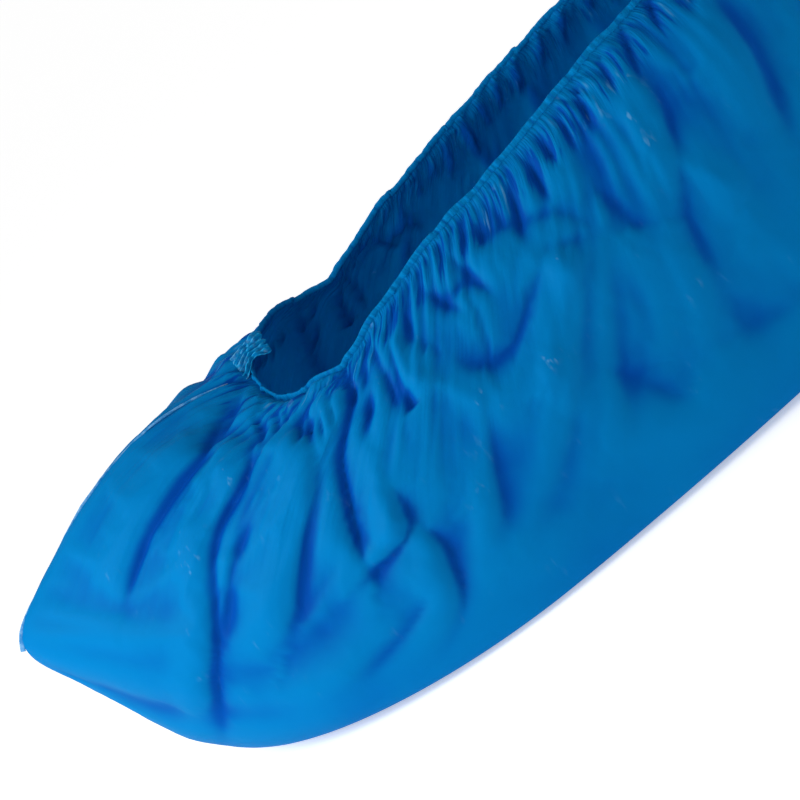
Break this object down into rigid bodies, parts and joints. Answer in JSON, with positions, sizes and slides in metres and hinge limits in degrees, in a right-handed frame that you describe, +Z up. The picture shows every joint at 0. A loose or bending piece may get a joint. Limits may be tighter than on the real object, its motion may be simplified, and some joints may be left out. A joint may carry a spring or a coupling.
{
  "type": "disposable shoe cover",
  "caption": "Disposable plastic-film shoe cover with gathered elastic hem, welded toe and heel seams, shaped as worn over a shoe.",
  "frame": {"origin": "under the middle of the whole cover, on the surface that it stands on", "axes": "+Z up, +X from the toe to the heel, +Y to the side away from the picture's camera"},
  "size_m": [0.3114, 0.125, 0.1096],
  "materials": {
    "cover_film": "satin translucent film",
    "elastic_hem": "satin gathered film over elastic",
    "weld_seam": "pale pressed weld",
    "seam_tab": "crumpled translucent film"
  },
  "bodies": {
    "root": {"cover_film": "cover_film", "elastic_hem": "elastic_hem", "toe_seam": "weld_seam", "heel_seam": "weld_seam", "seam_tab": "seam_tab"}
  },
  "joints": []
}
